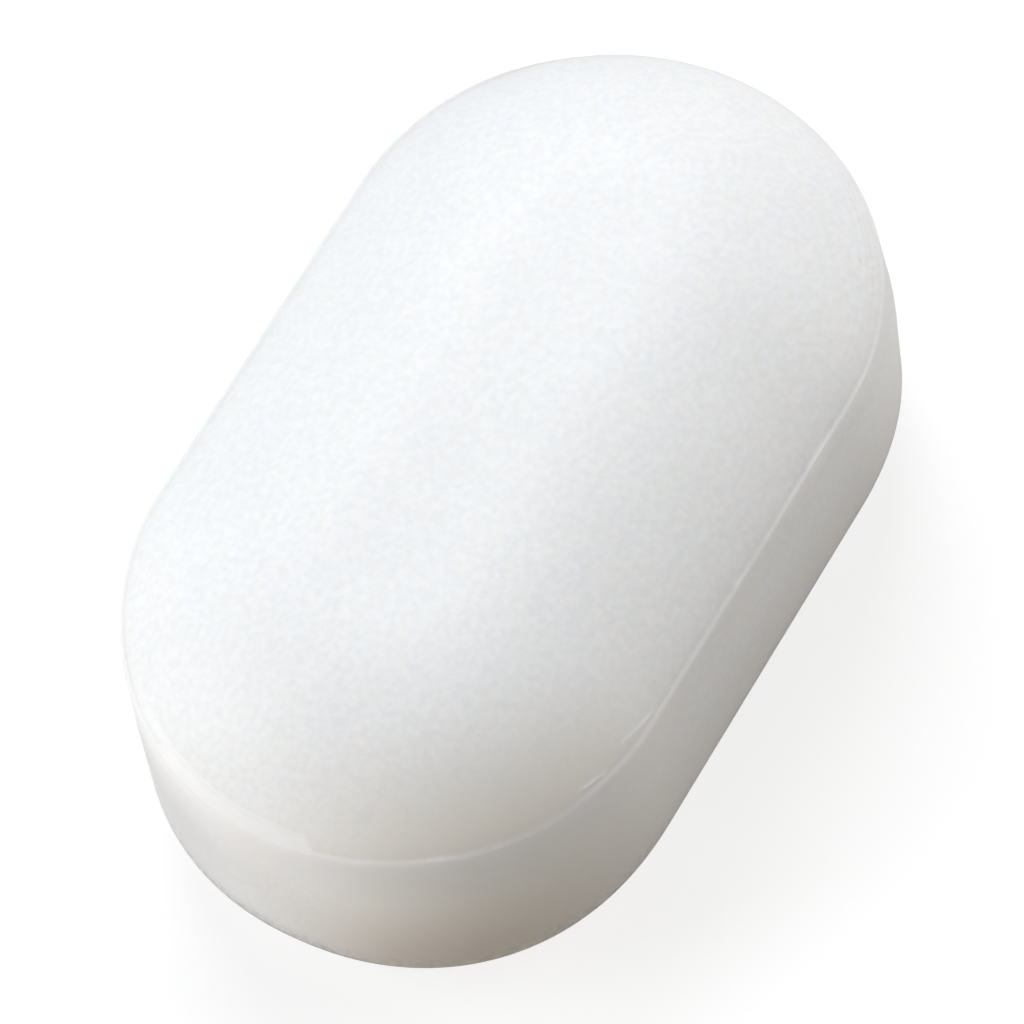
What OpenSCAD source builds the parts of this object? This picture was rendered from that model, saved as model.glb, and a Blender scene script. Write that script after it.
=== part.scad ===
// Magnetic stir bar: a long flat pill of pressed fluoropolymer, domed on both faces,
// with a bar magnet sealed in the middle of it.
//
// Frame: +X runs along the bar, +Y across it, +Z up. The origin is on the surface that the
// bar rests on, under its middle, so the flat strip of the lower face lies on z = 0.
// All sizes are in millimetres.

/* [Jacket] */
// Length over the two round ends
body_length = 25.4; // [22.5:0.1:40]
// Width across the two flat sides
body_width = 14.9; // [13.5:0.1:22]
// Height of the upright side wall, between the upper and the lower rim
wall_height = 5.85; // [3:0.05:12]

/* [Domed faces] */
// How far the flat strip along the middle of each dome reaches to each side
crown_flat = 1.5; // [0.5:0.1:3.5]
// Slope of the dome where it meets the rim, in degrees
rim_slope = 50; // [35:1:60]

/* [Rim] */
// Width of the narrow flat ring between a dome and the side wall
land_width = 0.14; // [0.05:0.01:0.6]
// Thickness of the flash fin that stands up from the outer edge of the ring
flash_thickness = 0.07; // [0.03:0.01:0.15]
// Height of the flash fin above the ring
flash_height = 0.05; // [0.02:0.01:0.2]

/* [Trimmed stretch] */
// How far below the rim the knife cut meets the side wall
trim_drop = 0.28; // [0.1:0.01:0.8]
// How far in from the side wall the knife cut meets the dome
trim_inset = 0.34; // [0.2:0.01:0.8]
// Where round the end the knife cut starts, in degrees from +X
trim_from = 140; // [95:1:170]
// Where round the end the knife cut stops, in degrees from +X
trim_to = 187; // [175:1:260]

/* [Magnet] */
// Length of the bar magnet
magnet_length = 18; // [8:0.5:20]
// Width of the bar magnet
magnet_width = 9; // [3:0.25:9.5]
// Height of the bar magnet
magnet_height = 6; // [2:0.25:8]
// Bevel along the four long edges of the magnet
magnet_bevel = 0.6; // [0.1:0.05:0.9]
// Gap left all round the magnet, where the jacket has shrunk down on to it
magnet_clearance = 0.02; // [0.01:0.01:0.2]

/* [Hidden] */
$fn = 128;
// Radius of the round ends, and of the obround seen from above
end_radius = body_width / 2;
// Distance from the middle of the bar to the centre of each round end
end_centre = body_length / 2 - end_radius;
// Half width of a dome
dome_reach = end_radius - land_width;
// Radius of the dome, which leaves the flat strip smoothly and meets the rim at its slope
dome_radius = (dome_reach - crown_flat) / sin(rim_slope);
// How far below the rim the centre of that radius lies
dome_sink = dome_radius * cos(rim_slope);
// Rise of each dome above its rim
crown_height = dome_radius - dome_sink;
// Height of the upper rim above the middle plane
rim_height = wall_height / 2;
// Height of the middle plane above the resting surface
mid_height = crown_height + rim_height;
// Height above the rim at which the knife cut meets the dome, and the steepness of the cut
trim_rise = sqrt(pow(dome_radius, 2) - pow(end_radius - trim_inset - crown_flat, 2)) - dome_sink;
trim_steepness = (trim_drop + trim_rise) / trim_inset;
// How far cutting shapes run past the surfaces that they cut
overcut = 1;
PRESSED_PTFE = [0.94, 0.95, 0.95];
CAST_ALLOY = [0.36, 0.36, 0.38];

// Sweeps a half-section, drawn from the middle out, round the obround plan:
// half a turn at each end and a straight run between them.
module sweep_obround() {
    for (side = [0, 1])
        rotate(180 * side)
            translate([end_centre, 0, 0])
                rotate(-90)
                    rotate_extrude(angle = 180)
                        children();
    rotate([90, 0, 90])
        linear_extrude(2 * end_centre, center = true) {
            children();
            mirror([1, 0])
                children();
        }
}

// The upper half of the pressed section: half the wall, the flat strip and the dome on it,
// and the flash fin that the press leaves at the rim.
module upper_half_section() {
    square([end_radius, rim_height]);
    translate([0, rim_height]) {
        square([crown_flat, crown_height]);
        translate([crown_flat, 0])
            intersection() {
                square([dome_reach - crown_flat, dome_radius]);
                translate([0, -dome_sink])
                    circle(r = dome_radius);
            }
        translate([end_radius - flash_thickness, 0])
            square([flash_thickness, flash_height]);
    }
}

module pressed_half_section() {
    upper_half_section();
    mirror([0, 1])
        upper_half_section();
}

// What the trimming knife takes away: everything outside a slanting line
// across the upper rim, over part of the turn round one end.
module trim_cut() {
    run = trim_inset + overcut;
    translate([-end_centre, 0, 0])
        rotate(trim_from)
            rotate_extrude(angle = trim_to - trim_from)
                translate([end_radius, rim_height - trim_drop])
                    polygon([
                        [-run, run * trim_steepness],
                        [overcut, -overcut * trim_steepness],
                        [overcut, run * trim_steepness]
                    ]);
}

// A bar along X with a bevel on each long edge, grown on every side by the given gap.
module bevelled_bar(gap) {
    half_w = magnet_width / 2 + gap;
    half_h = magnet_height / 2 + gap;
    rotate([90, 0, 90])
        linear_extrude(magnet_length + 2 * gap, center = true)
            polygon([
                [half_w, half_h - magnet_bevel],
                [half_w - magnet_bevel, half_h],
                [-half_w + magnet_bevel, half_h],
                [-half_w, half_h - magnet_bevel],
                [-half_w, -half_h + magnet_bevel],
                [-half_w + magnet_bevel, -half_h],
                [half_w - magnet_bevel, -half_h],
                [half_w, -half_h + magnet_bevel]
            ]);
}

module jacket() {
    color(PRESSED_PTFE)
        translate([0, 0, mid_height])
            difference() {
                sweep_obround()
                    pressed_half_section();
                trim_cut();
                bevelled_bar(magnet_clearance);
            }
}

module bar_magnet() {
    color(CAST_ALLOY)
        translate([0, 0, mid_height])
            bevelled_bar(0);
}

jacket();
bar_magnet();
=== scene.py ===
# %% [markdown]
# # A magnetic stir bar
#
# A stir bar is a bar magnet sealed in a white fluoropolymer jacket. It lies at the bottom of a
# flask and turns with a magnet under the plate. This lesson dresses the packed model of one: a
# long flat pill with an upright wall, a dome on each face and the fine marks that a press leaves
# at its rim.
#
# The packed model is loaded first. It is the fixed frame: the sizes below come from it, repeat
# one of its own lengths, or belong to something too fine for it to hold.

# %% Load the packed model
import math

import bmesh
import bpy
from mathutils import Matrix, Vector, noise


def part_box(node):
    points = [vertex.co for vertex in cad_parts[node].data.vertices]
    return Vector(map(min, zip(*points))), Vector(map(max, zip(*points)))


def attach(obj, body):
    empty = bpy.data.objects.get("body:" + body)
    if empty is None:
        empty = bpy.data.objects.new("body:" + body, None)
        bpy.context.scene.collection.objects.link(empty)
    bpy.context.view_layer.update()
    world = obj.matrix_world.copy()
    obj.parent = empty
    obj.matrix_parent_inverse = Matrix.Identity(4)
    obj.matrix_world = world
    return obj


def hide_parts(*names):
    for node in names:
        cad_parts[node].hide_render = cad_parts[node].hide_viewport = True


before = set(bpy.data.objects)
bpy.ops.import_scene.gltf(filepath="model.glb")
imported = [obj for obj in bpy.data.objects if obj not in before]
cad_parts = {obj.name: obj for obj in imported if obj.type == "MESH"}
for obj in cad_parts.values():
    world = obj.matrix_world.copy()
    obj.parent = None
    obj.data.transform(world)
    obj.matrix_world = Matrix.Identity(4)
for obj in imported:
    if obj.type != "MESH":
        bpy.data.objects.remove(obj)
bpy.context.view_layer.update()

MM = 0.001


print("nodes:", sorted(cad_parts))

# %% [markdown]
# ## The sizes of the bar
#
# Seen from above the bar is an obround: two half circles joined by straight sides. Its length
# and width give everything else, because the half circles are as wide as the bar. We read both
# from the jacket's box, and the magnet's box gives the hollow that it lies in.

# %% Sizes from the frame
jacket_low, jacket_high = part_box("jacket")
magnet_low, magnet_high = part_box("bar_magnet")

END_RADIUS = (jacket_high.y - jacket_low.y) / 2
END_CENTRE = (jacket_high.x - jacket_low.x) / 2 - END_RADIUS
MID_HEIGHT = (jacket_high.z + jacket_low.z) / 2
HALF_THICKNESS = (jacket_high.z - jacket_low.z) / 2
SIDE_LENGTH = 2 * END_CENTRE
END_LENGTH = math.pi * END_RADIUS
PERIMETER = 2 * (SIDE_LENGTH + END_LENGTH)

print(f"end radius {END_RADIUS / MM:.2f} mm, end centres at +-{END_CENTRE / MM:.2f} mm")
print(f"perimeter {PERIMETER / MM:.1f} mm")

# %% [markdown]
# ## The pressed section
#
# The jacket is pressed from powder between two hollow punches in a straight die, then baked.
# The die's bore makes the upright wall. Each punch makes a dome, flat along the middle. The
# punch can't be sharp at its edge, so a narrow flat ring is left round the dome, and powder that
# creeps into the gap between punch and die stands up at the ring's outer edge as a thin fin.
#
# We could cut all that out of a block, but it is one section carried round the obround, so we
# write the section as a list of points and sweep it. A point is (distance from the mid-line,
# height above the middle plane).

# %% Sizes of the pressed section
# The packed jacket's own lengths, which a mesh can't name
WALL_HEIGHT = 5.85 * MM
CROWN_FLAT = 1.5 * MM
RIM_SLOPE = math.radians(50)
LAND_WIDTH = 0.14 * MM
FIN_HEIGHT = 0.05 * MM

RIM_HEIGHT = WALL_HEIGHT / 2
DOME_REACH = END_RADIUS - LAND_WIDTH
DOME_RADIUS = (DOME_REACH - CROWN_FLAT) / math.sin(RIM_SLOPE)
DOME_SINK = DOME_RADIUS * math.cos(RIM_SLOPE)


def dome_height(distance):
    """Height of a dome above its rim, at a distance from the bar's mid-line."""
    out = max(distance - CROWN_FLAT, 0)
    return math.sqrt(DOME_RADIUS ** 2 - min(out, DOME_RADIUS) ** 2) - DOME_SINK


print(f"a dome rises {dome_height(0) / MM:.2f} mm over its rim")
print(f"section against box: {(RIM_HEIGHT + dome_height(0) - HALF_THICKNESS) / MM:+.3f} mm")

# %% [markdown]
# ## Round the rim
#
# What makes the rim look real is that it isn't the same all the way round. To say where
# something is, we measure a station: the distance along the wall from the tip at -X, past the
# -Y side. A column of the mesh stands at each station, with a foot on the mid-line and a
# direction that points out.

# %% Stations and columns
STEPS_PER_END = 240
STEPS_PER_SIDE = 88


def place(station):
    """The foot on the mid-line and the outward direction at a station."""
    s = station % PERIMETER
    quarter = END_LENGTH / 2
    if s < quarter:
        turn = math.pi + s / END_RADIUS
        return -END_CENTRE, math.cos(turn), math.sin(turn)
    s -= quarter
    if s < SIDE_LENGTH:
        return -END_CENTRE + s, 0.0, -1.0
    s -= SIDE_LENGTH
    if s < END_LENGTH:
        turn = -math.pi / 2 + s / END_RADIUS
        return END_CENTRE, math.cos(turn), math.sin(turn)
    s -= END_LENGTH
    if s < SIDE_LENGTH:
        return END_CENTRE - s, 0.0, 1.0
    s -= SIDE_LENGTH
    turn = math.pi / 2 + s / END_RADIUS
    return -END_CENTRE, math.cos(turn), math.sin(turn)


def stations():
    """Evenly spaced stations on each end and each side, so that the two sides match."""
    quarter = END_LENGTH / 2
    runs = [
        (0, quarter, STEPS_PER_END // 2),
        (quarter, SIDE_LENGTH, STEPS_PER_SIDE),
        (quarter + SIDE_LENGTH, END_LENGTH, STEPS_PER_END),
        (quarter + SIDE_LENGTH + END_LENGTH, SIDE_LENGTH, STEPS_PER_SIDE),
        (quarter + 2 * SIDE_LENGTH + END_LENGTH, quarter, STEPS_PER_END // 2),
    ]
    return [start + length * i / steps for start, length, steps in runs for i in range(steps)]


STATIONS = stations()
print(len(STATIONS), "columns,", f"{PERIMETER / len(STATIONS) / MM:.3f} mm apart on average")

# %% [markdown]
# ## Curves along the rim
#
# Marks on a real rim fade in, fade out and wander. Four small functions say all of that: a
# smooth step, a hump, a table that is read between its entries, and noise along the rim. The
# noise is the same each time that the script runs.

# %% Curves along the rim


def smooth(value, start, end):
    """0 before start, 1 after end, and an even curve between."""
    t = min(max((value - start) / (end - start), 0), 1)
    return t * t * (3 - 2 * t)


def hump(value, middle, half_width):
    """A smooth hump, 1 at the middle and 0 from half a width away."""
    t = (value - middle) / half_width
    return (1 - t * t) ** 2 if abs(t) < 1 else 0.0


def read_table(table, station):
    """The value at a station, on even curves between the entries of a table."""
    s = station / MM
    for (s0, v0), (s1, v1) in zip(table, table[1:]):
        if s0 <= s < s1:
            return v0 + (v1 - v0) * smooth(s, s0, s1)
    return table[-1][1]


def waver(station, waves, row, layer):
    """Noise between about -1 and 1, with so many waves to a millimetre of rim.

    The row and the layer choose a stretch of noise, so that no two marks waver alike.
    """
    return noise.noise(Vector((station / MM * waves, row, layer)))


print("noise at the first stations:", [round(waver(s * MM, 1, 0, 0), 2) for s in (0.2, 0.5, 0.8)])

# %% [markdown]
# ## The fin
#
# The fin is high where the punch sat a little to one side and almost gone elsewhere, and it slips
# up and down the rounded edge by some hundredths of a millimetre. At a few places it is nicked
# into a burr.
#
# All of it could be sculpted by hand. A table of stations and heights is easier to read and to
# change, and a little noise on top makes the fin ragged.

# %% The fin and its burrs
# Station in mm, and the height of the fin there as a share of its full height
FIN_SHARES = [
    (0.0, 0.3), (1.8, 0.45), (3.2, 0.7), (4.9, 0.8), (5.6, 0.6), (8.8, 0.6), (9.6, 0.9),
    (16.0, 0.9), (18.2, 1.0), (19.4, 1.4), (21.6, 1.4), (23.4, 1.1), (25.6, 0.4), (31.0, 0.45),
    (38.0, 0.9), (47.0, 0.6), (57.0, 0.7), (62.0, 0.4), (67.8, 0.3),
]
# Station in mm, and how far down the edge the fin has slipped there, in mm
FIN_SLIPS = [
    (0.0, -0.04), (4.6, -0.05), (6.0, 0.05), (8.4, 0.08), (9.5, -0.03), (15.0, -0.02),
    (20.0, 0.01), (26.0, 0.02), (67.8, -0.04),
]
# Burrs: station, half width along the rim, height of the burr as a share of the fin's
BURRS = [
    (2.75 * MM, 0.14 * MM, 0.6),
    (3.02 * MM, 0.12 * MM, 0.5),
    (4.60 * MM, 0.12 * MM, 0.5),
    (4.86 * MM, 0.16 * MM, 0.7),
    (6.40 * MM, 0.12 * MM, 0.5),
    (16.25 * MM, 0.18 * MM, 0.5),
]
# How ragged the fin is, its long and its short waves to a millimetre, and the short ones' share
RAGGEDNESS = 0.35
LONG_WAVES = 0.9
SHORT_WAVES = 4.0
SHORT_SHARE = 0.6


def fin_share(station):
    """Height of the fin as a share of its full height, a little ragged all along."""
    ragged = waver(station, LONG_WAVES, 1, 0) + SHORT_SHARE * waver(station, SHORT_WAVES, 1, 5)
    share = read_table(FIN_SHARES, station) * (1 + RAGGEDNESS * ragged)
    for middle, half_width, burr in BURRS:
        share += burr * hump(station, middle, half_width)
    return max(share, 0.0)


print("fin at the -Y side:", [round(fin_share(s * MM), 2) for s in (12, 14, 16, 18, 20)])

# %% [markdown]
# ## Folded slivers
#
# At two places a sliver of the fin has been folded in on to the dome. Each lies on a slanting
# line beside the rim and tapers at both ends. It could be a thin strip of its own, but a strip
# that lies on a dome shows a gap, so the dome itself rises there.

# %% Folded slivers
# First and last station, distance from the mid-line at each, height
SLIVERS = [
    (8.80 * MM, 10.00 * MM, 7.22 * MM, 7.30 * MM, 0.030 * MM),
    (10.50 * MM, 12.10 * MM, 7.12 * MM, 7.30 * MM, 0.026 * MM),
]
SLIVER_HALF_WIDTH = 0.045 * MM
SLIVER_TAPER = 0.35 * MM


def sliver(station, distance):
    """How far a folded sliver stands off the dome near the rim, and how surely one is there."""
    height = there = 0.0
    for first, last, near, far, full in SLIVERS:
        ends = smooth(station, first, first + SLIVER_TAPER)
        ends *= 1 - smooth(station, last - SLIVER_TAPER, last)
        middle = near + (far - near) * (station - first) / (last - first)
        here = ends * hump(distance, middle, SLIVER_HALF_WIDTH)
        height += full * here
        there = max(there, here)
    return height, there


print("sliver at 9.4 mm, in mm:", round(sliver(9.4 * MM, 7.26 * MM)[0] / MM, 3))

# %% [markdown]
# ## The scraped stretch
#
# Round the -X tip somebody has scraped the rim with a knife and stopped short: the cut is wide
# and shallow, grows slowly and ends in a short slant.
#
# A boolean could cut it away and would break the even grid of the sweep. Instead every point
# that stands outside the knife's line moves on to that line. Where the knife lifts, the line
# moves out until it clears the fin.

# %% The knife
# Stations where the scrape starts, where it is fully deep and where it ends in a short step
TRIM_START = -6.6 * MM
TRIM_FULL = -3.2 * MM
TRIM_END = 1.46 * MM
TRIM_STEP = 0.20 * MM
# How far down the wall and in over the dome the knife reached
TRIM_DROP = 0.20 * MM
TRIM_INSET = 0.33 * MM
TRIM_STEEPNESS = (TRIM_DROP + dome_height(END_RADIUS - TRIM_INSET)) / TRIM_INSET
# How much the knife chattered, and the waves of that to a millimetre
CHATTER = 0.07
CHATTER_WAVES = 1.6
# How far over the rim the knife's line passes where it cuts nothing, and how soft its edge is
KNIFE_CLEAR = 1.5 * FIN_HEIGHT
CUT_EDGE = 0.006 * MM
# Stations from here on count as negative ones, back from the tip, since the scrape crosses it
COUNTED_BACK = 0.6 * PERIMETER


def trim_share(station):
    """How deep the knife ran at a station, as a share of its full depth."""
    s = station if station < COUNTED_BACK else station - PERIMETER
    chatter = 1 + CHATTER * waver(s, CHATTER_WAVES, 3, 1)
    grown = smooth(s, TRIM_START, TRIM_FULL)
    return grown * (1 - smooth(s, TRIM_END, TRIM_END + TRIM_STEP)) * min(chatter, 1)


def knife(distance, height, worked_and_lit, share):
    """Moves a point that stands outside the knife's line on to that line, and whitens it."""
    at_wall = Vector((END_RADIUS, KNIFE_CLEAR - (KNIFE_CLEAR + TRIM_DROP) * share))
    outward = Vector((TRIM_STEEPNESS, 1.0)).normalized()
    outside = (Vector((distance, height)) - at_wall).dot(outward)
    if outside <= 0:
        return distance, height, worked_and_lit
    worked_and_lit = max(worked_and_lit, min(outside / CUT_EDGE, 1))
    return distance - outward.x * outside, height - outward.y * outside, worked_and_lit


print("the knife across the tip:", [round(trim_share(s * MM), 2) for s in (-5, -2, 0, 1.5, 2)])

# %% [markdown]
# ## The punch's rings
#
# Round the +X end the punch has left three faint rings in the dome. They wander a little and come
# and go, so each is a shallow hump turned inward, with noise on its place and on its depth.

# %% The punch's rings
# Distance from the mid-line, half width, depth, and the painted shade in the ring
PUNCH_RINGS = [
    (7.18 * MM, 0.045 * MM, 0.010 * MM, 0.40),
    (7.05 * MM, 0.050 * MM, 0.012 * MM, 0.45),
    (6.88 * MM, 0.060 * MM, 0.008 * MM, 0.30),
]
RINGS_MIDDLE = 27.3 * MM
RINGS_REACH = 5.5 * MM
# How strong the rings are beyond their reach, and within it before the noise takes or adds
RING_ELSEWHERE = 0.05
RING_PRESSED = 0.75
# How much the rings fade and wander, and the waves of each to a millimetre
RING_FADE = 1.1
RING_FADE_WAVES = 0.8
RING_WANDER = 0.03 * MM
RING_WANDER_WAVES = 0.35


def punch_rings(station):
    """The punch's rings at a station: distance, half width, depth and painted shade of each."""
    rings = []
    for i, (middle, half_width, depth, tone) in enumerate(PUNCH_RINGS):
        wander = RING_WANDER * waver(station, RING_WANDER_WAVES, i * 7.0, 2)
        there = RING_ELSEWHERE + hump(station, RINGS_MIDDLE, RINGS_REACH)
        fade = RING_FADE * waver(station, RING_FADE_WAVES, i * 3.0, 8)
        there *= min(max(RING_PRESSED + fade, 0), 1)
        rings.append((middle + wander, half_width, depth * there, tone * there))
    return rings


depths = [round(depth / MM, 3) for middle, half_width, depth, tone in punch_rings(RINGS_MIDDLE)]
print("ring depths in the middle of their reach, in mm:", depths)

# %% [markdown]
# ## The rows of the section
#
# Every column uses the same rows, so that the sweep stays a clean grid. The rows are far apart
# on the crown, where nothing happens, and close together at the rim. The upper edge has been
# rubbed round under its fin. The lower edge keeps its narrow ring and a low fin.
#
# A row also knows its outward normal and how far along the edge it lies, counted from where the
# dome ends. Marks need both: the normal to stand on, and the distance to be in the right place.

# %% Edges and steps
# The edge in mm: (distance in from the wall, height over the rim). It starts where the dome ends,
# a land's width in from the wall, and ends in the wall
UPPER_EDGE = [
    (0.140, 0.000), (0.122, -0.021), (0.105, -0.042), (0.089, -0.063), (0.074, -0.085),
    (0.061, -0.106), (0.050, -0.127), (0.040, -0.148), (0.031, -0.170), (0.023, -0.193),
    (0.016, -0.218), (0.010, -0.245), (0.005, -0.277), (0.002, -0.310), (0.000, -0.350),
]
LOWER_EDGE = [
    (0.140, 0.000), (0.100, -0.006), (0.070, 0.004), (0.050, 0.012), (0.030, 0.010),
    (0.012, -0.010), (0.004, -0.045), (0.000, -0.090), (0.000, -0.150),
]
# How many rows the flat strip, the dome and the band beside the rim have
UPPER_STEPS = (3, 24, 30)
LOWER_STEPS = (3, 16, 7)
RIM_BAND = 0.78 * MM

print("points on the upper and the lower edge:", len(UPPER_EDGE), len(LOWER_EDGE))

# %% The upper and the lower rows


def spread(start, end, steps):
    """Even steps from start up to, and not with, end."""
    return [start + (end - start) * i / steps for i in range(steps)]


def dome_rows(on_strip, on_dome, beside_rim):
    """Distances from the mid-line at which the dome has a row, closer beside the rim."""
    band_start = DOME_REACH - RIM_BAND
    slope_there = math.asin((band_start - CROWN_FLAT) / DOME_RADIUS)
    rows = spread(0, CROWN_FLAT, on_strip)
    rows += [CROWN_FLAT + DOME_RADIUS * math.sin(t) for t in spread(0, slope_there, on_dome)]
    return rows + spread(band_start, DOME_REACH, beside_rim)


def plain_rows(steps, edge_in_mm):
    """The plain rows: (distance, height over the rim, distance along the edge, outward normal)."""
    rows = []
    for d in dome_rows(*steps):
        lean = math.asin(max(d - CROWN_FLAT, 0) / DOME_RADIUS)
        normal = Vector((math.sin(lean), math.cos(lean)))
        rows.append((d, dome_height(d), (d - DOME_REACH) / math.cos(lean), normal))
    edge = [Vector((END_RADIUS - d * MM, z * MM)) for d, z in edge_in_mm]
    along = 0.0
    for before, here, after in zip([edge[0]] + edge, edge, edge[1:] + [edge[-1]]):
        along += (here - before).length
        run = (after - before).normalized()
        rows.append((here.x, here.y, along, Vector((-run.y, run.x))))
    return rows


UPPER_ROWS = plain_rows(UPPER_STEPS, UPPER_EDGE)
LOWER_ROWS = plain_rows(LOWER_STEPS, LOWER_EDGE)
print(len(UPPER_ROWS), "rows in the upper half-section,", len(LOWER_ROWS), "in the lower")

# %% [markdown]
# ## Marks on the section
#
# A fine groove runs beside the upper fin, where the punch's edge sat. The fin, this groove, the
# punch's rings and the folded slivers move a row along its normal. Where the fin is high, it has
# filled the groove, and where the knife has passed, both are gone. Along the +Y side the edge
# has kept most of its corner.
#
# Each mark also leaves a tone. Worked plastic is whiter, and that white also paints a highlight
# on the fin, the folds and the scrape. The groove, the dome's edge and the rings get painted
# shade, a little grey. So a point carries two values, the worked white and the painted shade,
# which the material reads later. Painting them on the mesh puts the tone exactly where the form
# is, which a texture could only guess.

# %% Sizes and tones of the marks
# Where the upper edge has kept its corner: from nowhere to fully, and back, and how much of it
KEPT_FROM = (38 * MM, 42 * MM)
KEPT_TO = (57 * MM, 60 * MM)
KEPT_SHARE = 0.75
# The fin on the upper edge, measured along it from the dome, and the whitened fold below the fin
FIN_MIDDLE = 0.20 * MM
FIN_HALF_WIDTH = 0.11 * MM
FIN_STANDS = 0.028 * MM
FOLD_BELOW = 0.03 * MM
FOLD_HALF_WIDTH = 0.16 * MM
# The groove inside the fin, the share of fin at which it would be full, and what stays open of it
GROOVE_INSIDE = 0.17 * MM
GROOVE_HALF_WIDTH = 0.09 * MM
GROOVE_DEPTH = 0.008 * MM
GROOVE_FULL = 1.9
GROOVE_OPEN = 0.2
# Tones: the groove's painted shade, the painted shade at the dome's edge and its reach, and the
# scrape's white, which is also a painted highlight
GROOVE_SHADE_TONE = 0.22
EDGE_SHADE_TONE = 0.20
EDGE_REACH = 0.55 * MM
SCRAPE_TONE = 0.6
# From how far in the scrape's white fades up, as a multiple of the knife's inset
SCRAPE_INSETS = 1.2
# How far the knife's end leans along the rim, for each millimetre in from the wall
TRIM_SLANT = 1.0

print(f"fin {FIN_STANDS / MM:.3f} mm high, groove {GROOVE_DEPTH / MM:.3f} mm deep")

# %% One column with its marks


def upper_section(station):
    """The upper half-section: (distance, height over the rim, worked white and painted highlight,
    painted shade).
    """
    share = fin_share(station)
    open_groove = min(max(GROOVE_FULL - share, GROOVE_OPEN), 1)
    fin_middle = FIN_MIDDLE + read_table(FIN_SLIPS, station) * MM
    rings = punch_rings(station)
    kept = KEPT_SHARE * smooth(station, *KEPT_FROM) * (1 - smooth(station, *KEPT_TO))
    points = []
    for d, z, along, normal in UPPER_ROWS:
        if along > 0:
            z *= 1 - kept
        trim = trim_share(station + TRIM_SLANT * (END_RADIUS - d))
        fin = share * hump(along, fin_middle, FIN_HALF_WIDTH)
        # The fold below the fin turns white: worked plastic, and a painted highlight on the fin's lit
        # flank
        whitened = share * hump(along, fin_middle + FOLD_BELOW, FOLD_HALF_WIDTH * max(share, 1))
        groove = open_groove * hump(along, fin_middle - GROOVE_INSIDE, GROOVE_HALF_WIDTH)
        groove *= 1 - trim
        folded, worked_and_lit = sliver(station, d)
        stands = FIN_STANDS * fin - GROOVE_DEPTH * groove + folded
        # Painted shade: grey in the open groove, at the dome's edge and in the punch's rings
        groove_shade = GROOVE_SHADE_TONE * groove + EDGE_SHADE_TONE * hump(along, 0, EDGE_REACH) * (1 - trim)
        for middle, half_width, depth, tone in rings:
            ring = hump(d, middle, half_width)
            stands -= depth * ring
            groove_shade += tone * ring
        # The scrape's face turns white: worked plastic, and a painted highlight on the cut
        inside = smooth(d, END_RADIUS - SCRAPE_INSETS * TRIM_INSET, END_RADIUS - TRIM_INSET)
        worked_and_lit = max(worked_and_lit, min(whitened, 1), SCRAPE_TONE * trim * inside)
        d, z = min(d + normal.x * stands, END_RADIUS), z + normal.y * stands
        d, z, worked_and_lit = knife(d, z, worked_and_lit, trim)
        points.append((d, z, worked_and_lit, min(groove_shade, 1) * (1 - worked_and_lit)))
    return points


print(len(upper_section(12 * MM)), "points, fin included")

# %% [markdown]
# ## The whole section and the corners
#
# The upper half-section, a few rows of plain wall and the lower half-section turned over make
# one ring of rows.
#
# The ends aren't quite half circles. From the rim down they grow a little squarer, by up to a
# quarter of a millimetre at the corners, and each corner has its own amount. A superellipse is a
# circle with another power than 2, so one number for each corner says it.

# %% The whole section and its corners
WALL_ROWS = 9
# How square each corner of the lower half is: the power of a superellipse, by the signs of x and y
CORNER_POWERS = {(-1, -1): 2.20, (1, -1): 2.22, (1, 1): 2.15, (-1, 1): 2.03}


def whole_section(station):
    """The closed section from the upper mid-line over the wall to the lower mid-line."""
    upper = [(d, RIM_HEIGHT + z, *marks) for d, z, *marks in upper_section(station)]
    lower = [(d, -RIM_HEIGHT - z, 0.0, 0.0) for d, z, along, normal in LOWER_ROWS]
    top, bottom = upper[-1][1], lower[-1][1]
    wall = [(END_RADIUS, top + (bottom - top) * i / WALL_ROWS, 0.0, 0.0) for i in range(1, WALL_ROWS)]
    return upper + wall + lower[::-1]


def corner_flare(out_x, out_y, z):
    """How much wider the ends are than half circles, growing from the rim to half height."""
    power = CORNER_POWERS[1 if out_x > 0 else -1, 1 if out_y > 0 else -1]
    squarer = (abs(out_x) ** power + abs(out_y) ** power) ** (-1 / power)
    return 1 + (squarer - 1) * min(max((RIM_HEIGHT - z) / RIM_HEIGHT, 0), 1)


diagonal = math.sqrt(0.5)
flare = (corner_flare(-diagonal, -diagonal, 0) - 1) * END_RADIUS
print(len(whole_section(0)), f"rows in all, {flare / MM:.2f} mm wider at the -X -Y corner")

# %% [markdown]
# ## Sweeping the jacket
#
# Where the columns meet on the mid-line their points coincide, and merging them closes the
# crown. A sweep in mesh code keeps the grid even, which a boolean would not.
#
# Last, the whole surface wanders inward by some micrometres, as baked powder does when it
# shrinks. Too slight to see as a form, it takes the ruler-straight look from the light.

# %% The sweep
# Points closer than this become one, and faces thinner than this go
MERGE_WITHIN = 0.0005 * MM
THINNEST = 0.0002 * MM


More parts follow.
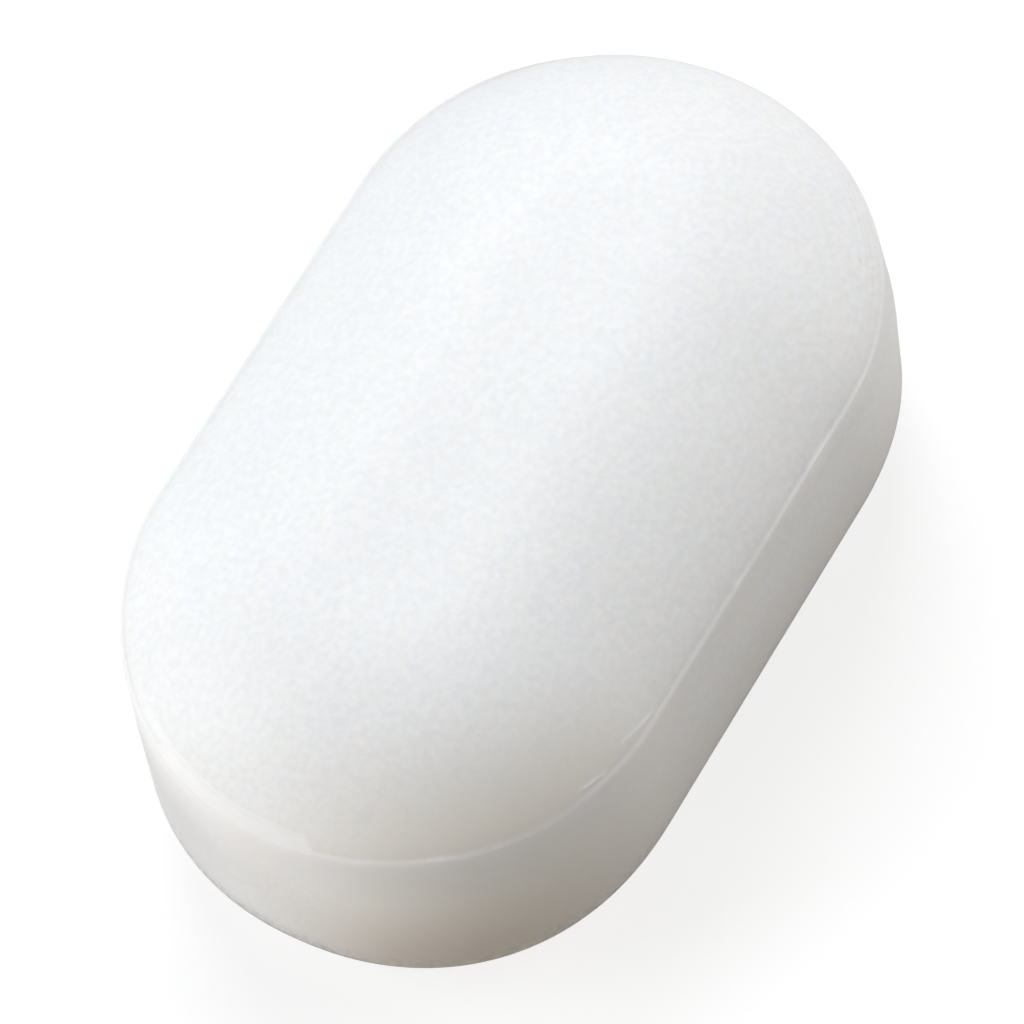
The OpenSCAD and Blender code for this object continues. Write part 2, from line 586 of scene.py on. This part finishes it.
def sweep_jacket(mesh):
    """Fills a bmesh with the swept outer surface."""
    # Two tones for each point: the worked white, partly a painted highlight, and the painted shade
    worked_and_lit_layer = mesh.verts.layers.float.new("worked_and_lit")
    groove_shade_layer = mesh.verts.layers.float.new("groove_shade")
    columns = []
    for station in STATIONS:
        foot, out_x, out_y = place(station)
        column = []
        for d, z, worked_and_lit, groove_shade in whole_section(station):
            d *= corner_flare(out_x, out_y, z)
            vertex = mesh.verts.new((foot + d * out_x, d * out_y, MID_HEIGHT + z))
            vertex[worked_and_lit_layer] = worked_and_lit
            vertex[groove_shade_layer] = groove_shade
            column.append(vertex)
        columns.append(column)
    for left, right in zip(columns, columns[1:] + columns[:1]):
        for a, b, c, d in zip(left, left[1:], right[1:], right):
            mesh.faces.new((a, b, c, d))
    bmesh.ops.remove_doubles(mesh, verts=mesh.verts, dist=MERGE_WITHIN)
    bmesh.ops.dissolve_degenerate(mesh, edges=mesh.edges, dist=THINNEST)
    bmesh.ops.recalc_face_normals(mesh, faces=mesh.faces)


print("faces that the sweep starts from:", len(STATIONS) * (len(whole_section(0)) - 1))

# %% The wander
# Its depth and size, how much finer its second layer is, that layer's share and place in the
# noise, and how far the whole moves in so that no point moves out
UNEVEN_DEPTH = 0.004 * MM
UNEVEN_SIZE = 3.2 * MM
UNEVEN_FINER = 2.1
UNEVEN_FINER_SHARE = 0.5
UNEVEN_FINER_PLACE = Vector((4, 1, 7))
UNEVEN_INWARD = 1.8


def unevenness(point):
    """A slow wander of the surface, in metres, never outward."""
    p = point / UNEVEN_SIZE
    finer = noise.noise(p * UNEVEN_FINER + UNEVEN_FINER_PLACE)
    return UNEVEN_DEPTH * (noise.noise(p) + UNEVEN_FINER_SHARE * finer - UNEVEN_INWARD)


def settle(mesh):
    """Lets the whole surface wander by some micrometres, inward only."""
    mesh.normal_update()
    moves = [(v, v.normal * unevenness(v.co)) for v in mesh.verts]
    for vertex, move in moves:
        vertex.co += move


tip = Vector((-END_CENTRE - END_RADIUS, 0, MID_HEIGHT))
print(f"wander at the -X tip: {unevenness(tip) / MM:.4f} mm")

# %% [markdown]
# ## The hollow for the magnet
#
# The powder is pressed round the magnet and shrinks down on to it, so the hollow has the magnet's
# form, with its bevelled long edges. A boolean would cut it too. A second closed surface inside
# the first, with its faces turned inward, is the same thing made of sixteen points.

# %% The hollow
MAGNET_BEVEL = 0.6 * MM
MAGNET_GAP = 0.02 * MM


def hollow(mesh):
    """Adds the bevelled hollow that the magnet lies in, with its faces turned inward."""
    half_w = (magnet_high.y - magnet_low.y) / 2 + MAGNET_GAP
    half_h = (magnet_high.z - magnet_low.z) / 2 + MAGNET_GAP
    half_l = (magnet_high.x - magnet_low.x) / 2 + MAGNET_GAP
    b = MAGNET_BEVEL
    corners = [
        (half_w, half_h - b), (half_w - b, half_h), (b - half_w, half_h), (-half_w, half_h - b),
        (-half_w, b - half_h), (b - half_w, -half_h), (half_w - b, -half_h), (half_w, b - half_h),
    ]
    ends = [[mesh.verts.new((x, y, MID_HEIGHT + z)) for y, z in corners] for x in (-half_l, half_l)]
    faces = [mesh.faces.new(ends[0]), mesh.faces.new(ends[1][::-1])]
    for i in range(len(corners)):
        j = (i + 1) % len(corners)
        faces.append(mesh.faces.new((ends[0][j], ends[0][i], ends[1][i], ends[1][j])))
    bmesh.ops.recalc_face_normals(mesh, faces=faces)
    bmesh.ops.reverse_faces(mesh, faces=faces)


print(f"the hollow stands {MAGNET_GAP / MM:.2f} mm off the magnet")

# %% [markdown]
# ## The jacket as a piece
#
# The bmesh becomes an object, shaded smooth except where it turns sharply. Two lines then say
# what it is in the packed model: it moves with the root, and it takes the place of the packed
# jacket. Its material comes with the pressed plastic below.

# %% The jacket
# Edges that turn more sharply than this stay crisp
SHARP_ANGLE = math.radians(38)


def add_object(name, data):
    """An object with its data, in the scene."""
    added = bpy.data.objects.new(name, data)
    bpy.context.scene.collection.objects.link(added)
    return added


def build_jacket():
    """The jacket: swept, settled, hollow inside and shaded smooth."""
    work = bmesh.new()
    sweep_jacket(work)
    settle(work)
    hollow(work)
    mesh = bpy.data.meshes.new("pressed_jacket")
    work.to_mesh(mesh)
    work.free()
    mesh.polygons.foreach_set("use_smooth", [True] * len(mesh.polygons))
    mesh.set_sharp_from_angle(angle=SHARP_ANGLE)
    return add_object("pressed_jacket", mesh)


pressed_jacket = build_jacket()
triangles = sum(len(p.vertices) - 2 for p in pressed_jacket.data.polygons)
print("jacket:", len(pressed_jacket.data.vertices), "points,", triangles, "triangles")

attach(pressed_jacket, "root")
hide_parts("jacket")

# %% [markdown]
# ## Materials
#
# A material is a small graph of nodes, and the same few steps come back in each: a node with its
# settings, a value or a link into a socket, a product, a range turned into another range, two
# colours mixed by a mask. Each is a short function here, so that a material reads like a recipe.

# %% Helpers for nodes


def add_node(tree, kind, **settings):
    """A node with its settings."""
    node = tree.nodes.new(kind)
    for name, value in settings.items():
        setattr(node, name, value)
    return node


def feed(tree, value, socket):
    """Links another socket into this one, or writes a number, a place or a colour into it."""
    if isinstance(value, bpy.types.NodeSocket):
        tree.links.new(value, socket)
    else:
        socket.default_value = value


def compute(tree, operation, *values):
    """A Math node on values, each a socket or a number; gives its result."""
    node = add_node(tree, "ShaderNodeMath", operation=operation)
    for value, socket in zip(values, node.inputs):
        feed(tree, value, socket)
    return node.outputs["Value"]


def times(tree, first, *others):
    """The product of some values, each a socket or a number."""
    for other in others:
        first = compute(tree, "MULTIPLY", first, other)
    return first


print("helpers:", [helper.__name__ for helper in (add_node, feed, compute, times)])

# %% Helpers for ranges, colours and relief
# The colour sockets of a Mix node by number, because their names repeat for each type it can mix
MIX_FIRST, MIX_SECOND, MIX_RESULT = 6, 7, 2


def map_range(tree, value, limits, results=(0, 1), curve="LINEAR"):
    """A Map Range node on a value, from the limits to the results; gives its result."""
    node = add_node(tree, "ShaderNodeMapRange", interpolation_type=curve)
    feed(tree, value, node.inputs["Value"])
    for name, number in zip(("From Min", "From Max", "To Min", "To Max"), (*limits, *results)):
        feed(tree, number, node.inputs[name])
    return node.outputs["Result"]


def mix_colors(tree, share, first, second):
    """Mixes two colours, each a socket or four numbers, by a share."""
    node = add_node(tree, "ShaderNodeMix", data_type="RGBA")
    feed(tree, share, node.inputs["Factor"])
    feed(tree, first, node.inputs[MIX_FIRST])
    feed(tree, second, node.inputs[MIX_SECOND])
    return node.outputs[MIX_RESULT]


def bump(tree, shader, height, depth):
    """Feeds a height, times a depth in metres, to a shader's normal."""
    node = add_node(tree, "ShaderNodeBump")
    feed(tree, depth, node.inputs["Distance"])
    feed(tree, height, node.inputs["Height"])
    feed(tree, node.outputs["Normal"], shader.inputs["Normal"])


def new_material(name):
    """A new material, its tree and its shader."""
    material = bpy.data.materials.new(name)
    material.use_nodes = True
    return material, material.node_tree, material.node_tree.nodes["Principled BSDF"]


print("helpers:", [helper.__name__ for helper in (map_range, mix_colors, bump, new_material)])

# %% [markdown]
# ## Grain and clouds
#
# Two things vary over any pressed or cast surface: a fine grain, and slow clouds of tone. A cast
# one has small pits as well. All three are one node group, with their sizes as inputs, that both
# materials use. It puts out plain values, and the shader stays in the material.

# %% A node group for grain and clouds
# The group's inputs, and what they are where a material says nothing, in waves to a metre
GRAIN_INPUTS = {"Grain Scale": 3500.0, "Cloud Scale": 300.0, "Speck Scale": 900.0}
# Each noise: the input that sizes it, the output that it feeds, and its layers of detail
GRAIN_NOISES = (("Grain Scale", "Grain", 3.0), ("Cloud Scale", "Clouds", 4.0))
# A pit's edge and its full depth, as distances from the middle of its cell
PIT_LIMITS = (0.10, 0.04)
# Most of a noise's values lie between these
NOISE_LIMITS = (0.3, 0.7)


def surface_grain_group():
    """The group: grain and clouds from two noises, specks from the middles of small cells."""
    group = bpy.data.node_groups.new("surface_grain", "ShaderNodeTree")
    for name, value in GRAIN_INPUTS.items():
        socket = group.interface.new_socket(
            name=name, in_out="INPUT", socket_type="NodeSocketFloat"
        )
        socket.default_value = value
    for name in ("Grain", "Clouds", "Specks"):
        group.interface.new_socket(name=name, in_out="OUTPUT", socket_type="NodeSocketFloat")
    sizes = add_node(group, "NodeGroupInput").outputs
    results = add_node(group, "NodeGroupOutput").inputs
    where = add_node(group, "ShaderNodeTexCoord").outputs["Object"]
    for scale, result, detail in GRAIN_NOISES:
        cloud = add_node(group, "ShaderNodeTexNoise")
        feed(group, detail, cloud.inputs["Detail"])
        feed(group, where, cloud.inputs["Vector"])
        feed(group, sizes[scale], cloud.inputs["Scale"])
        feed(group, cloud.outputs["Fac"], results[result])
    cells = add_node(group, "ShaderNodeTexVoronoi")
    feed(group, where, cells.inputs["Vector"])
    feed(group, sizes["Speck Scale"], cells.inputs["Scale"])
    feed(group, map_range(group, cells.outputs["Distance"], PIT_LIMITS), results["Specks"])
    return group


def use_grain(tree, *scales):
    """Places the group with a material's own sizes; gives its outputs."""
    node = add_node(tree, "ShaderNodeGroup", node_tree=surface_grain)
    for name, scale in zip(GRAIN_INPUTS, scales):
        feed(tree, scale, node.inputs[name])
    return node.outputs


surface_grain = surface_grain_group()
print("group:", surface_grain.name, [s.name for s in surface_grain.interface.items_tree])

# %% [markdown]
# ## Painted light and shade
#
# Some light and shade is painted into the colour: warm light on the near -X -Y side, shade on the
# wall round the -X +Y corner, warm shade that darkens towards the foot of the -Y wall, shade along
# the wall's foot, and light on the upper wall at the -X end, lighter towards the rim.
#
# They could be painted into an image. A mask made of soft bands along X, Y and Z needs none, can
# be read, and stays sharp at any size. The grain and the clouds break the masks up, so that no
# straight edge shows.

# %% Where the painted light and shade lie
LOW_RIM = MID_HEIGHT - RIM_HEIGHT
HIGH_RIM = MID_HEIGHT + RIM_HEIGHT
# Where each painted tone lies: along an axis, the place where it fades to nothing and where it is
# full
# Painted warm light on the near -X -Y side, from the rim down, fading up the dome
WARM_LIGHT_REGION = [
    ("Z", HIGH_RIM + 2.7 * MM, HIGH_RIM),
    ("X", -2.0 * MM, -10.0 * MM),
    ("Y", 1.0 * MM, -5.5 * MM),
]
# Painted shade on the wall round the -X +Y corner
CORNER_SHADE_REGION = [
    ("Y", -0.4 * MM, 3.5 * MM),
    ("X", -6.0 * MM, -11.0 * MM),
    ("Z", HIGH_RIM + 0.1 * MM, HIGH_RIM - 0.1 * MM),
]
# Painted shade, warm, darker towards the foot of the -Y wall and strongest at the -X end
LOWER_WALL_SHADE_REGION = [("Z", MID_HEIGHT + 1.0 * MM, LOW_RIM), ("Y", 1.5 * MM, -4.0 * MM)]
LOWER_WALL_SHADE_MOST = [("X", -7.5 * MM, -11.5 * MM)]
# Painted shade along the wall's foot, ragged by the grain, and a darker painted line right at the
# foot
FOOT_SHADE_REGION = [("Z", LOW_RIM + 0.80 * MM, LOW_RIM + 0.15 * MM)]
FOOT_SHADE_LINE = [("Z", LOW_RIM + 0.16 * MM, LOW_RIM)]
# Painted light on the upper wall at the -X end, lighter towards the rim and gone above it
UPPER_WALL_LIGHT_REGION = [("Z", MID_HEIGHT - 0.4 * MM, HIGH_RIM), ("Z", HIGH_RIM, HIGH_RIM - 0.1 * MM)]
ON_WALL = [("Z", LOW_RIM - 0.30 * MM, LOW_RIM - 0.05 * MM)]
TO_END = [("X", -3.0 * MM, -9.0 * MM)]
# How the clouds thin a painted tone, and from where to where in the grain the shade at the foot is
# ragged
CLOUD_LIMITS = (0.25, 0.75)
CLOUD_SHARES = (0.7, 1)
RAGGED_LIMITS = (0.42, 0.68)
# The share of the painted shade away from the -X end and at it, on the lower wall and at the foot,
# and the share of the painted shade's line at the foot
LOWER_WALL_SHADE_SHARES = (0.4, 1)
FOOT_SHADE_SHARES = (0.2, 0.7)
FOOT_SHADE_LINE_SHARE = 0.6
# The one dark speck
SPECK_PLACE = (8.90 * MM, -5.75 * MM, 9.0 * MM)
SPECK_RADIUS = 0.13 * MM

print("rims at", [round(height / MM, 2) for height in (LOW_RIM, HIGH_RIM)], "mm")

# %% Masks for the painted light and shade


def region(tree, axes, bands):
    """1 inside a region with soft edges and 0 outside: the product of its bands."""
    return times(tree, *(
        map_range(tree, axes[axis], (nothing, full), curve="SMOOTHSTEP")
        for axis, nothing, full in bands
    ))


def painted_light_masks(tree, grain):
    """Masks of painted warm light, painted shade on the wall and its foot, and painted light."""
    parts = add_node(tree, "ShaderNodeSeparateXYZ")
    feed(tree, add_node(tree, "ShaderNodeTexCoord").outputs["Object"], parts.inputs["Vector"])
    axes = parts.outputs
    on_wall = region(tree, axes, ON_WALL)
    to_end = region(tree, axes, TO_END)
    clouded = map_range(tree, grain["Clouds"], CLOUD_LIMITS, CLOUD_SHARES)
    ragged = map_range(tree, grain["Grain"], RAGGED_LIMITS)
    # Painted warm light, painted shade on a corner, low on the wall and at the foot, and painted
    # light
    warm_light = region(tree, axes, WARM_LIGHT_REGION)
    corner_shade = times(tree, region(tree, axes, CORNER_SHADE_REGION), clouded, on_wall)
    lower_wall_shade_share = map_range(tree, region(tree, axes, LOWER_WALL_SHADE_MOST), (0, 1), LOWER_WALL_SHADE_SHARES)
    lower_wall_shade = times(tree, region(tree, axes, LOWER_WALL_SHADE_REGION), on_wall, clouded, lower_wall_shade_share)
    foot_shade_share = map_range(tree, to_end, (0, 1), FOOT_SHADE_SHARES)
    foot = times(tree, region(tree, axes, FOOT_SHADE_REGION), ragged, foot_shade_share)
    line = times(tree, region(tree, axes, FOOT_SHADE_LINE), FOOT_SHADE_LINE_SHARE)
    foot_shade = times(tree, compute(tree, "MAXIMUM", foot, line), on_wall)
    upper_wall_light = times(tree, region(tree, axes, UPPER_WALL_LIGHT_REGION), to_end)
    return warm_light, corner_shade, lower_wall_shade, foot_shade, upper_wall_light


def speck_mask(tree):
    """1 on the one dark speck that was baked into the dome, 0 elsewhere."""
    away = add_node(tree, "ShaderNodeVectorMath", operation="DISTANCE")
    feed(tree, add_node(tree, "ShaderNodeTexCoord").outputs["Object"], away.inputs[0])
    feed(tree, SPECK_PLACE, away.inputs[1])
    return map_range(tree, away.outputs["Value"], (0, SPECK_RADIUS), (1, 0), "SMOOTHSTEP")


print("masks:", painted_light_masks.__doc__)

# %% [markdown]
# ## The pressed fluoropolymer
#
# This plastic is white because it scatters light inside. Light goes in, wanders for a millimetre
# or two and comes out beside where it entered, so edges are soft and fine relief is faint. A
# white paint on the surface can't give that, but the shader's subsurface part does.
#
# The skin is a slightly mottled white, from uneven packing of the powder. Over it come painted
# light and shade, each a mask and a colour. Then come the two tones painted on the mesh: painted
# shade in the groove, at the dome's edge and in the punch's rings, and the worked white. Worked
# plastic is full of tiny cracks, so it is whiter, and less of the light gets into it; its white
# also paints a highlight on the fin, the folds and the scrape. Last is one dark speck that was
# baked in.

# %% Colours and values of the plastic
SKIN_LOW = (0.860, 0.864, 0.865, 1)
SKIN_HIGH = (0.920, 0.924, 0.924, 1)
# Painted light and shade: warm light, shade on a corner, warm shade low on the wall, shade at the
# foot, shade in the grooves; then the worked white, also painted highlight and light, and the speck
WARM_LIGHT_TINT = (0.885, 0.850, 0.795, 1)
CORNER_SHADE_GREY = (0.60, 0.60, 0.605, 1)
LOWER_WALL_SHADE_WARM = (0.61, 0.55, 0.485, 1)
FOOT_SHADE_GREY = (0.52, 0.50, 0.48, 1)
GROOVE_SHADE_GREY = (0.72, 0.71, 0.70, 1)
WORKED_AND_LIT_WHITE = (0.99, 0.99, 0.99, 1)
SPECK_GREY = (0.35, 0.33, 0.31, 1)
# How strongly a painted tone or the speck shows where its mask is full
CORNER_SHADE_SHARE = 0.65
UPPER_WALL_LIGHT_SHARE = 0.75
GROOVE_SHADE_SHARE = 0.5
SPECK_SHARE = 0.22
# The sizes of the grain, the clouds and the specks, in waves to a metre, and the skin's mottling
PTFE_GRAIN = (5200.0, 260.0, 900.0)
MOTTLE_CLOUDS = 0.5
MOTTLE_LIMITS = (0.55, 0.95)
# How far light wanders, for red, green and blue as shares of that, and how much of the light
# still goes in where the plastic is fully worked
LIGHT_REACH = 2.0 * MM
LIGHT_SPREAD = (1.0, 0.9, 0.8)
WORKED_LIGHT = 0.4
# The gloss: how much the surface reflects, how rough it is from low to high grain, and its relief
PTFE_IOR = 1.35
PTFE_ROUGHNESS = (0.42, 0.54)
PTFE_RELIEF = 0.012 * MM

print(f"light wanders {LIGHT_REACH / MM:.1f} mm inside, under a relief of {PTFE_RELIEF / MM:.3f} mm")

# %% The pressed fluoropolymer


def pressed_ptfe_material():
    """White plastic that light goes into, with painted light and shade, the worked white and a speck.
    """
    material, tree, shader = new_material("pressed_ptfe")
    grain = use_grain(tree, *PTFE_GRAIN)
    mottled = compute(tree, "MULTIPLY_ADD", grain["Clouds"], MOTTLE_CLOUDS, grain["Grain"])
    color = mix_colors(tree, map_range(tree, mottled, MOTTLE_LIMITS), SKIN_LOW, SKIN_HIGH)
    warm_light, corner_shade, lower_wall_shade, foot_shade, upper_wall_light = painted_light_masks(tree, grain)
    # The worked white, partly a painted highlight, and the painted shade, both painted on the mesh
    worked_and_lit = add_node(tree, "ShaderNodeAttribute", attribute_name="worked_and_lit").outputs["Fac"]
    groove_shade = add_node(tree, "ShaderNodeAttribute", attribute_name="groove_shade").outputs["Fac"]
    # Painted warm light, painted shade on a corner and low on the wall, painted light under the
    # scrape, painted shade at the foot and in the grooves, the worked white with its painted
    # highlight, a speck
    for mask, tone in (
        (warm_light, WARM_LIGHT_TINT),
        (times(tree, corner_shade, CORNER_SHADE_SHARE), CORNER_SHADE_GREY),
        (lower_wall_shade, LOWER_WALL_SHADE_WARM),
        (times(tree, upper_wall_light, UPPER_WALL_LIGHT_SHARE), WORKED_AND_LIT_WHITE),
        (foot_shade, FOOT_SHADE_GREY),
        (times(tree, groove_shade, GROOVE_SHADE_SHARE), GROOVE_SHADE_GREY),
        (worked_and_lit, WORKED_AND_LIT_WHITE),
        (times(tree, speck_mask(tree), SPECK_SHARE), SPECK_GREY),
    ):
        color = mix_colors(tree, mask, color, tone)
    feed(tree, color, shader.inputs["Base Color"])
    feed(tree, PTFE_IOR, shader.inputs["IOR"])
    light_inside = map_range(tree, worked_and_lit, (0, 1), (1, WORKED_LIGHT))
    feed(tree, light_inside, shader.inputs["Subsurface Weight"])
    feed(tree, LIGHT_SPREAD, shader.inputs["Subsurface Radius"])
    feed(tree, LIGHT_REACH, shader.inputs["Subsurface Scale"])
    roughness = map_range(tree, grain["Grain"], NOISE_LIMITS, PTFE_ROUGHNESS)
    feed(tree, roughness, shader.inputs["Roughness"])
    bump(tree, shader, grain["Grain"], PTFE_RELIEF)
    return material


pressed_jacket.data.materials.append(pressed_ptfe_material())
print("materials:", [m.name for m in pressed_jacket.data.materials])

# %% [markdown]
# ## The magnet
#
# Nobody sees the magnet while the jacket is whole, but it is part of the model, so it gets the
# finish of a real one: cast alloy, dark and grainy, with small pits. It keeps its packed shape
# and uses the same group with coarser values.

# %% The cast alloy
# Its tones and its pits, its grain, clouds and specks in waves to a metre, and its gloss
ALLOY_LOW = (0.27, 0.27, 0.285, 1)
ALLOY_HIGH = (0.37, 0.37, 0.385, 1)
PIT_DARK = (0.10, 0.10, 0.105, 1)
ALLOY_GRAIN = (2600.0, 420.0, 1400.0)
ALLOY_ROUGHNESS = (0.42, 0.60)
ALLOY_RELIEF = 0.03 * MM


def cast_magnet_material():
    """Dark cast metal, clouded, grainy and pitted."""
    material, tree, shader = new_material("cast_magnet")
    feed(tree, 1.0, shader.inputs["Metallic"])
    grain = use_grain(tree, *ALLOY_GRAIN)
    clouds = map_range(tree, grain["Clouds"], NOISE_LIMITS)
    clouded = mix_colors(tree, clouds, ALLOY_LOW, ALLOY_HIGH)
    pitted = mix_colors(tree, grain["Specks"], clouded, PIT_DARK)
    feed(tree, pitted, shader.inputs["Base Color"])
    roughness = map_range(tree, grain["Grain"], NOISE_LIMITS, ALLOY_ROUGHNESS)
    feed(tree, roughness, shader.inputs["Roughness"])
    bump(tree, shader, grain["Grain"], ALLOY_RELIEF)
    return material


bar_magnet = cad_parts["bar_magnet"]
alloy = cast_magnet_material()
for slot in bar_magnet.material_slots:
    slot.material = alloy
print("magnet:", [slot.material.name for slot in bar_magnet.material_slots])

# %% [markdown]
# ## The camera
#
# The bar is small, so it is looked at from about a hand's length away with a long lens, from well
# above. A camera's own axes are its right, its up and its back, and here we set them directly:
# first level, from the azimuth and the elevation, and then turned by the roll. The frame's width
# where the bar lies gives the lens.

# %% The camera
BAR_MIDDLE = Vector((0, 0, MID_HEIGHT))
CAMERA_AZIMUTH = math.radians(-50.95)
CAMERA_ELEVATION = math.radians(60.98)
CAMERA_ROLL = math.radians(-10.72)
# How far the camera is from the bar, and where it looks beside and over the bar's middle
CAMERA_DISTANCE = 217.2 * MM
VIEW_CENTRE_RIGHT = -0.039 * MM
VIEW_CENTRE_UP = -0.300 * MM
# The frame's width at the bar, which sets the lens, with the sensor's width as Blender counts it
FRAME_WIDTH_THERE = 27.081 * MM
SENSOR_WIDTH = 36.0
# Nothing nearer or farther is seen, in metres
NEAREST_SEEN = 0.01
FARTHEST_SEEN = 10.0


def add_camera():
    """The camera, set by its own three axes."""
    ca, sa = math.cos(CAMERA_AZIMUTH), math.sin(CAMERA_AZIMUTH)
    ce, se = math.cos(CAMERA_ELEVATION), math.sin(CAMERA_ELEVATION)
    back = Vector((sa * ce, -ca * ce, se))
    level_right = Vector((ca, sa, 0))
    level_up = back.cross(level_right)
    cr, sr = math.cos(CAMERA_ROLL), math.sin(CAMERA_ROLL)
    right = cr * level_right + sr * level_up
    up = cr * level_up - sr * level_right
    eye = BAR_MIDDLE + back * CAMERA_DISTANCE + right * VIEW_CENTRE_RIGHT + up * VIEW_CENTRE_UP
    data = bpy.data.cameras.new("camera")
    data.sensor_width = SENSOR_WIDTH
    data.lens = SENSOR_WIDTH * CAMERA_DISTANCE / FRAME_WIDTH_THERE
    data.clip_start = NEAREST_SEEN
    data.clip_end = FARTHEST_SEEN
    camera = add_object("camera", data)
    camera.matrix_world = Matrix((
        (right.x, up.x, back.x, eye.x),
        (right.y, up.y, back.y, eye.y),
        (right.z, up.z, back.z, eye.z),
        (0, 0, 0, 1),
    ))
    bpy.context.scene.camera = camera
    return camera


camera = add_camera()
print(f"lens {camera.data.lens:.1f} mm")

# %% [markdown]
# ## The floor
#
# A white floor is two things. For the light that bounces, it is pale paper: some of the light
# comes back up and warms the lower wall. For the eye, it should be plain white. The Light Path
# node tells the two apart, so the paper also glows a little, but only for the rays that come from
# the camera or from a gloss. Near the bar it glows less, and there the paper's own light and
# shadow show, so the bar keeps its shadow and doesn't float.

# %% The rays that should find white


def white_rays(tree):
    """1 for the rays that should find a white background, 0 for the light that bounces."""
    kinds = add_node(tree, "ShaderNodeLightPath").outputs
    white = compute(tree, "MAXIMUM", kinds["Is Camera Ray"], kinds["Is Glossy Ray"])
    return compute(tree, "MAXIMUM", white, kinds["Is Transmission Ray"])


print("white rays:", white_rays.__doc__)

# %% The floor
FLOOR_SIZE = 1.2
PAPER_ROUGHNESS = 0.9
# The paper's tone for the light that bounces, and for the eye
PAPER_BOUNCE = (0.38, 0.36, 0.33, 1)
PAPER_SHOWN = (0.36, 0.36, 0.36, 1)
# How much less it glows under the bar, and how far from the bar it has its whole glow, in metres
SHADOW_DEPTH = 0.28
SHADOW_REACH = 0.16


def floor_material():
    """Pale paper that glows white for the eye, less so near the bar."""
    material, tree, paper = new_material("floor_paper")
    white_ray = white_rays(tree)
    feed(tree, PAPER_ROUGHNESS, paper.inputs["Roughness"])
    feed(tree, mix_colors(tree, white_ray, PAPER_BOUNCE, PAPER_SHOWN), paper.inputs["Base Color"])
    away = add_node(tree, "ShaderNodeVectorMath", operation="LENGTH")
    feed(tree, add_node(tree, "ShaderNodeTexCoord").outputs["Object"], away.inputs[0])
    glow = map_range(
        tree, away.outputs["Value"], (0, SHADOW_REACH), (1 - SHADOW_DEPTH, 1), "SMOOTHSTEP"
    )
    white = add_node(tree, "ShaderNodeEmission")
    feed(tree, times(tree, glow, white_ray), white.inputs["Strength"])
    both = add_node(tree, "ShaderNodeAddShader")
    feed(tree, paper.outputs["BSDF"], both.inputs[0])
    feed(tree, white.outputs["Emission"], both.inputs[1])
    feed(tree, both.outputs["Shader"], tree.nodes["Material Output"].inputs["Surface"])
    return material


def add_floor():
    """A square of the paper under the bar, which is staging and no part of the model."""
    mesh = bpy.data.meshes.new("floor")
    s = FLOOR_SIZE / 2
    mesh.from_pydata([(-s, -s, 0), (s, -s, 0), (s, s, 0), (-s, s, 0)], [], [(0, 1, 2, 3)])
    mesh.materials.append(floor_material())
    floor = add_object("floor", mesh)
    return floor


floor = add_floor()
print(f"floor: {floor.dimensions.x:.1f} m wide")

# %% [markdown]
# ## The world
#
# Beyond the floor everything is white to the eye in the same way. The world gives no light of its
# own, so that the lamps alone shape the bar.

# %% The world


def add_world():
    """White for the eye, dark for the light that bounces."""
    world = bpy.data.worlds.new("studio")
    world.use_nodes = True
    tree = world.node_tree
    background = tree.nodes["Background"]
    feed(tree, (1, 1, 1, 1), background.inputs["Color"])
    feed(tree, white_rays(tree), background.inputs["Strength"])
    bpy.context.scene.world = world
    return world


print("world:", add_world().name)

# %% [markdown]
# ## The lamps
#
# Matt white shows its form only through soft steps of tone, so the light can't come from
# everywhere. Five round soft boxes stand in a ring, each about two thirds as wide as it is far
# away: the strongest high behind, strong ones at the left and the right, a lower one in front,
# and a faint one at the right behind. The left and the back are a little cool, as daylight is,
# and the right and the front a little warm, as a room is.
#
# Light adds up, which helps to balance lamps: render the bar under each lamp alone, add those
# pictures with different weights, and the mix that looks right gives every lamp's strength.
#
# A lamp is placed by its turn round the bar, counted from the camera's side towards the
# camera's right, and by its elevation. Together they are so strong that white comes out as white.

# %% The lamps
LAMPS = [
    # name, turn, elevation, watts, tint
    ("front_left_low", 315, 8, 0.0875, (1.00, 0.94, 0.88)),
    ("right", 90, 30, 0.0970, (1.00, 0.97, 0.94)),
    ("right_back", 120, 30, 0.0220, (0.88, 0.92, 1.00)),
    ("left", 270, 30, 0.1230, (0.94, 0.97, 1.00)),
    ("back_high", 180, 55, 0.1405, (0.94, 0.97, 1.00)),
]
# In metres: how far a lamp's middle is from the bar's, and the width of its disk
LAMP_DISTANCE = 0.15
LAMP_SIZE = 0.104


def add_lamp(name, turn, elevation, watts, tint):
    """A round soft box that faces the middle of the bar."""
    ca, sa = math.cos(CAMERA_AZIMUTH), math.sin(CAMERA_AZIMUTH)
    toward = Vector((sa, -ca, 0))
    right = Vector((ca, sa, 0))
    t, e = math.radians(turn), math.radians(elevation)
    level = toward * math.cos(t) + right * math.sin(t)
    direction = level * math.cos(e) + Vector((0, 0, math.sin(e)))
    data = bpy.data.lights.new(name, "AREA")
    data.shape = "DISK"
    data.size = LAMP_SIZE
    data.energy = watts
    data.color = tint
    lamp = add_object(name, data)
    lamp.location = BAR_MIDDLE + direction * LAMP_DISTANCE
    lamp.rotation_mode = "QUATERNION"
    lamp.rotation_quaternion = direction.to_track_quat("Z", "Y")
    return lamp


lamps = [add_lamp(*values) for values in LAMPS]
print(len(lamps), "lamps,", round(sum(lamp.data.energy for lamp in lamps), 3), "watts together")

# %% [markdown]
# ## Finishing
#
# The Standard view transform shows the colours as they are written. The film-like ones would
# turn a white bar grey.

# %% Colour management and the end
bpy.context.scene.view_settings.view_transform = "Standard"
